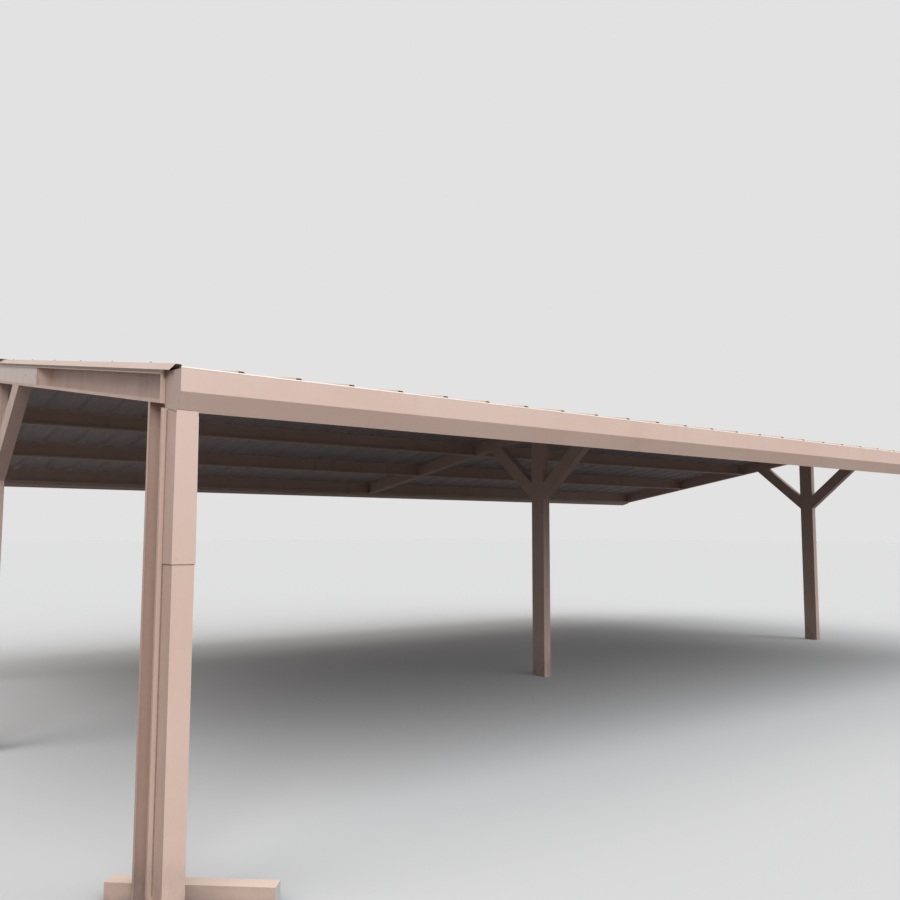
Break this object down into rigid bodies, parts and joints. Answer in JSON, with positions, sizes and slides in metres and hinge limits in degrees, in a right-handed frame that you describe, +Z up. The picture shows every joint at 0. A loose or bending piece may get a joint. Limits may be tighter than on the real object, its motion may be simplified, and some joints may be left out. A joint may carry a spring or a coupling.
{
  "type": "carport",
  "caption": "Open gable carport of folded steel: posts under the ridge with knee braces, lipped channel purlins, ribbed roof sheets, folded gutters and a corner downspout.",
  "frame": {"origin": "middle of the centre post's foot, on the floor", "axes": "+X along the ridge to the right gable, +Y to the rear slope, +Z up; the pictured gutter faces -Y and its shown end is at -X"},
  "size_m": [12.0541, 8.021, 3.0564],
  "materials": {
    "frame_paint": "satin",
    "roof_paint": "satin",
    "gutter_paint": "satin"
  },
  "bodies": {
    "root": {"brace_left_front": "frame_paint", "brace_left_rear": "frame_paint", "brace_middle_front": "frame_paint", "brace_middle_rear": "frame_paint", "brace_right_front": "frame_paint", "brace_right_rear": "frame_paint", "corner_post_front": "frame_paint", "corner_post_rear": "frame_paint", "downspout_front": "gutter_paint", "downspout_rear": "gutter_paint", "foot_beam_front": "frame_paint", "foot_beam_rear": "frame_paint", "gutter_caps": "gutter_paint", "gutter_left_end_front": "gutter_paint", "gutter_left_end_rear": "gutter_paint", "gutter_left_inner_front": "gutter_paint", "gutter_left_inner_rear": "gutter_paint", "gutter_right_end_front": "gutter_paint", "gutter_right_end_rear": "gutter_paint", "gutter_right_inner_front": "gutter_paint", "gutter_right_inner_rear": "gutter_paint", "post_left": "frame_paint", "post_middle": "frame_paint", "post_right": "frame_paint", "purlin_eave_front": "frame_paint", "purlin_eave_rear": "frame_paint", "purlin_high_front": "frame_paint", "purlin_high_rear": "frame_paint", "purlin_low_front": "frame_paint", "purlin_low_rear": "frame_paint", "purlin_ridge_front": "frame_paint", "purlin_ridge_rear": "frame_paint", "rafter_left_front": "frame_paint", "rafter_left_rear": "frame_paint", "rafter_middle_front": "frame_paint", "rafter_middle_rear": "frame_paint", "rafter_right_front": "frame_paint", "rafter_right_rear": "frame_paint", "ridge_cap": "roof_paint", "roof_sheet_front": "roof_paint", "roof_sheet_rear": "roof_paint", "splice_left_front": "frame_paint", "splice_left_rear": "frame_paint", "splice_right_front": "frame_paint", "splice_right_rear": "frame_paint"}
  },
  "joints": []
}
